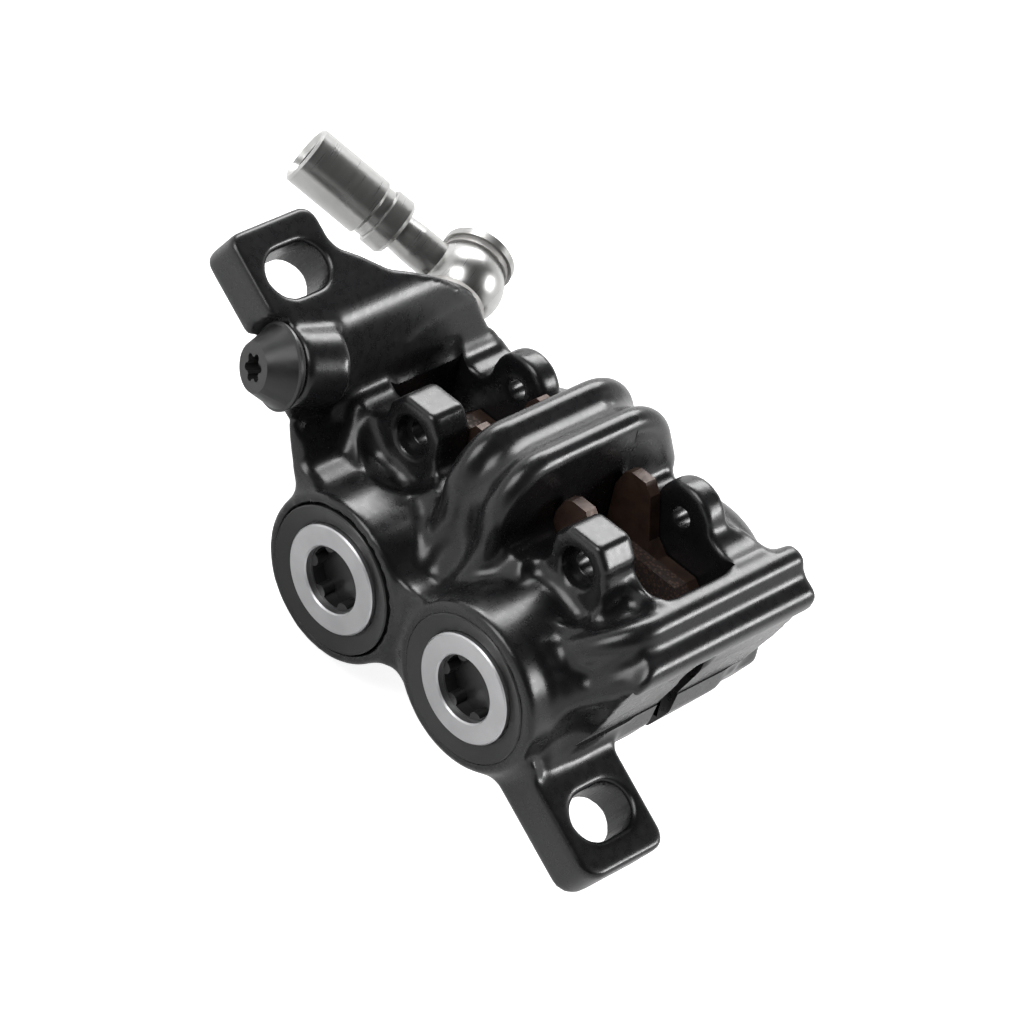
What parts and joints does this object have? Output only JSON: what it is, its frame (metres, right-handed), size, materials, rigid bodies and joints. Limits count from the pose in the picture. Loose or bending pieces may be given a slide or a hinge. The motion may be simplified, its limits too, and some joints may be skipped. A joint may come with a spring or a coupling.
{
  "type": "bicycle disc brake caliper",
  "caption": "Opposed-piston hydraulic disc brake caliper in one black forging with arched bridges, slotted mounting ears, bore plugs, pads, bleed screw and swivelling hose fitting",
  "frame": {"origin": "centre between the two mounting bolts, on the mounting plane under the ears", "axes": "+X along the bolt line from the bleed and hose end to the far ear, +Y along the wheel axle from the outboard to the inboard side, +Z out of the mounting plane toward the bolt heads"},
  "size_m": [0.0973, 0.0483, 0.0435],
  "materials": {
    "black_body": "gloss black anodised forging",
    "plug_black": "turned, satin black",
    "ring_silver": "matt silver, turned",
    "piston_alloy": "plain turned",
    "magnet_steel": "bright nickel plate",
    "seal_rubber": "matt black",
    "pad_plate": "copper-coloured plated steel",
    "pad_lining": "dark brown friction compound",
    "bleed_black": "satin black",
    "washer_copper": "annealed copper",
    "fitting_steel": "turned stainless, satin"
  },
  "bodies": {
    "caliper": {"caliper_body": "black_body", "bore_plug_1": "plug_black", "bore_plug_2": "plug_black", "trim_ring_1": "ring_silver", "trim_ring_2": "ring_silver", "piston_seals": "seal_rubber", "bleed_oring": "seal_rubber", "banjo_bolt": "fitting_steel", "banjo_washers": "washer_copper"},
    "pad_set_out_1": {"piston_out_1": "piston_alloy", "magnet_out_1": "magnet_steel", "plate_out_1": "pad_plate", "lining_out_1": "pad_lining"},
    "pad_set_out_2": {"piston_out_2": "piston_alloy", "magnet_out_2": "magnet_steel", "plate_out_2": "pad_plate", "lining_out_2": "pad_lining"},
    "pad_set_in_1": {"piston_in_1": "piston_alloy", "magnet_in_1": "magnet_steel", "plate_in_1": "pad_plate", "lining_in_1": "pad_lining"},
    "pad_set_in_2": {"piston_in_2": "piston_alloy", "magnet_in_2": "magnet_steel", "plate_in_2": "pad_plate", "lining_in_2": "pad_lining"},
    "bleeder": {"bleed_screw": "bleed_black"},
    "hose_end": {"banjo_fitting": "fitting_steel", "hose_collar": "fitting_steel", "crimp_sleeve": "fitting_steel"}
  },
  "joints": [
    {"name": "piston_out_1_slide", "type": "slide", "parent": "caliper", "child": "pad_set_out_1", "axis": [0, 1, 0], "range_m": [0, 0.002]},
    {"name": "piston_out_2_slide", "type": "slide", "parent": "caliper", "child": "pad_set_out_2", "axis": [0, 1, 0], "range_m": [0, 0.002]},
    {"name": "piston_in_1_slide", "type": "slide", "parent": "caliper", "child": "pad_set_in_1", "axis": [0, -1, 0], "range_m": [0, 0.002]},
    {"name": "piston_in_2_slide", "type": "slide", "parent": "caliper", "child": "pad_set_in_2", "axis": [0, -1, 0], "range_m": [0, 0.002]},
    {"name": "bleed_turn", "type": "hinge", "parent": "caliper", "child": "bleeder", "pos_m": [-0.0274, -0.0065, 0.0032], "axis": [-0.309, -0.9511, 0], "range_deg": [0, 270]},
    {"name": "hose_swivel", "type": "hinge", "parent": "caliper", "child": "hose_end", "pos_m": [-0.02705, 0.02441, -0.002], "axis": [-0.4602, 0.8878, 0], "range_deg": [-60, 120]}
  ],
  "couplings": [
    {"joint": "piston_out_2_slide", "follows": "piston_out_1_slide", "ratio": 1},
    {"joint": "piston_in_1_slide", "follows": "piston_out_1_slide", "ratio": 1},
    {"joint": "piston_in_2_slide", "follows": "piston_out_1_slide", "ratio": 1}
  ]
}
